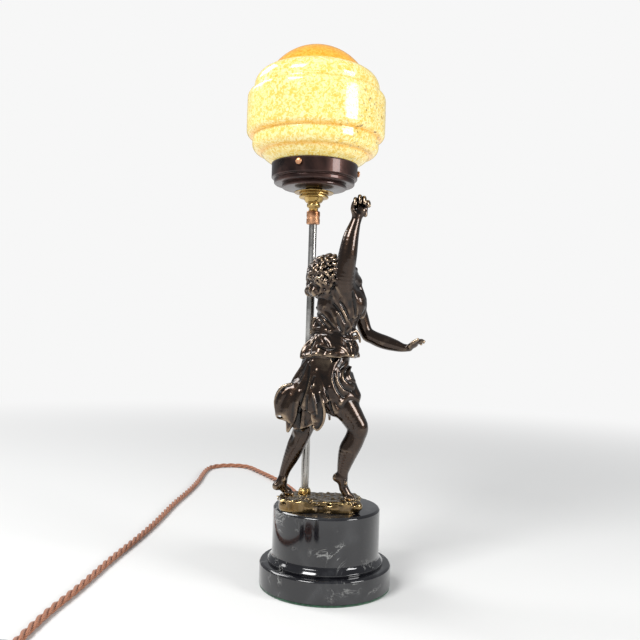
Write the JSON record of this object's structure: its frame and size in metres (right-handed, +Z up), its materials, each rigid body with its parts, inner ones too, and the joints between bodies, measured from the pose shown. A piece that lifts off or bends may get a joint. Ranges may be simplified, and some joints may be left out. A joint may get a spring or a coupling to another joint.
{
  "type": "figural table lamp",
  "caption": "Figural table lamp: a dancing bronze child on a stepped marble plinth, with a stem behind it that carries a stepped glass globe.",
  "frame": {"origin": "centre of the felt pad's underside, where the lamp stands on the table", "axes": "+Z up, +X the way the figure faces (the picture's right), +Y away from the picture's viewer"},
  "size_m": [0.3465, 0.9467, 0.5401],
  "materials": {
    "baize": "matt felt",
    "marble": "polished black marble with grey veins",
    "bronze": "dark patinated bronze with rubbed highlights",
    "rock_bronze": "gold-brown patinated cast rock",
    "plated_steel": "worn nickel plate",
    "steel": "plain",
    "turned_brass": "polished and lacquered",
    "copper_brass": "copper-toned",
    "gallery_bronze": "dark antiqued spun brass",
    "globe_glass": "mottled amber and cream",
    "bulb_clear": "frosted warm white",
    "filament": "lit filaments on a glass mount",
    "holder_plastic": "black moulded",
    "insulator": "white porcelain",
    "contact": "bright",
    "spring_steel": "plain",
    "rubber": "matt",
    "flex_fabric": "twisted brown braid",
    "core_insulation": "cotton-covered cores",
    "block_plastic": "cream moulded",
    "switch_plastic": "brown moulded",
    "plug_plastic": "brown moulded",
    "fuse_body": "with plated caps"
  },
  "bodies": {
    "lamp": {"felt_pad": "baize", "plinth_foot": "marble", "plinth_drum": "marble", "ground_plate": "rock_bronze", "figure_skirt": "bronze", "figure_flying_drape": "bronze", "figure_front_leg": "bronze", "figure_rear_leg": "bronze", "figure_peplum": "bronze", "figure_torso": "bronze", "figure_raised_arm": "bronze", "figure_forward_arm": "bronze", "figure_head": "bronze", "stem_tube": "plated_steel", "stem_foot_collar": "turned_brass", "stem_washer": "steel", "stem_nut": "steel", "stem_coupler": "copper_brass", "nipple": "turned_brass", "turned_collar": "turned_brass", "spacer_disc": "turned_brass", "gallery_washer": "turned_brass", "gallery_nut": "turned_brass", "gallery_base": "gallery_bronze", "gallery": "gallery_bronze", "lampholder_cap": "holder_plastic", "lampholder_barrel": "holder_plastic", "lampholder_ring": "holder_plastic", "lampholder_insulator": "insulator", "plunger_springs": "spring_steel", "plate_bolts": "steel", "figure_screws": "steel", "cord_bush": "rubber", "inner_flex": "flex_fabric", "terminal_block": "block_plastic", "stem_wires": "core_insulation", "flex_free": "flex_fabric", "flex_link": "flex_fabric", "flex_coil": "flex_fabric", "flex_tail": "flex_fabric", "switch_base": "switch_plastic", "switch_cover": "switch_plastic", "plug_cover": "plug_plastic", "plug_base": "plug_plastic", "plug_pins": "contact", "plug_fuse": "fuse_body"},
    "globe": {"globe_neck": "globe_glass", "globe_lower_tier": "globe_glass", "globe_middle_tier": "globe_glass", "globe_upper_tier": "globe_glass"},
    "screw_front": {"thumb_screw_front": "copper_brass"},
    "screw_right": {"thumb_screw_right": "copper_brass"},
    "screw_back": {"thumb_screw_back": "copper_brass"},
    "bulb": {"bulb_cap": "contact", "bulb_glass": "bulb_clear", "bulb_filament": "filament"},
    "plungers": {"contact_plungers": "contact"},
    "rocker": {"switch_rocker": "switch_plastic"}
  },
  "joints": [
    {"name": "shade_lift", "type": "slide", "parent": "lamp", "child": "globe", "axis": [0, 0, 1], "range_m": [0, 0.12]},
    {"name": "screw_front_slack", "type": "slide", "parent": "lamp", "child": "screw_front", "axis": [-0.3305, -0.9438, 0], "range_m": [0, 0.0015]},
    {"name": "screw_right_slack", "type": "slide", "parent": "lamp", "child": "screw_right", "axis": [0.9826, 0.1857, 0], "range_m": [0, 0.0015]},
    {"name": "screw_back_slack", "type": "slide", "parent": "lamp", "child": "screw_back", "axis": [-0.6521, 0.7581, 0], "range_m": [0, 0.0015]},
    {"name": "bulb_push", "type": "slide", "parent": "lamp", "child": "bulb", "axis": [0, 0, -1], "range_m": [0, 0.0025], "stiffness_N_per_m": 600, "springref_m": -0.004},
    {"name": "plunger_press", "type": "slide", "parent": "lamp", "child": "plungers", "axis": [0, 0, -1], "range_m": [0, 0.0025], "deforming": ["plunger_springs"]},
    {"name": "rocker_tilt", "type": "hinge", "parent": "lamp", "child": "rocker", "pos_m": [-0.239, -0.216, 0.0125], "axis": [1, 0, 0], "range_deg": [0, 16]}
  ],
  "couplings": [
    {"joint": "plunger_press", "follows": "bulb_push", "ratio": 1}
  ]
}
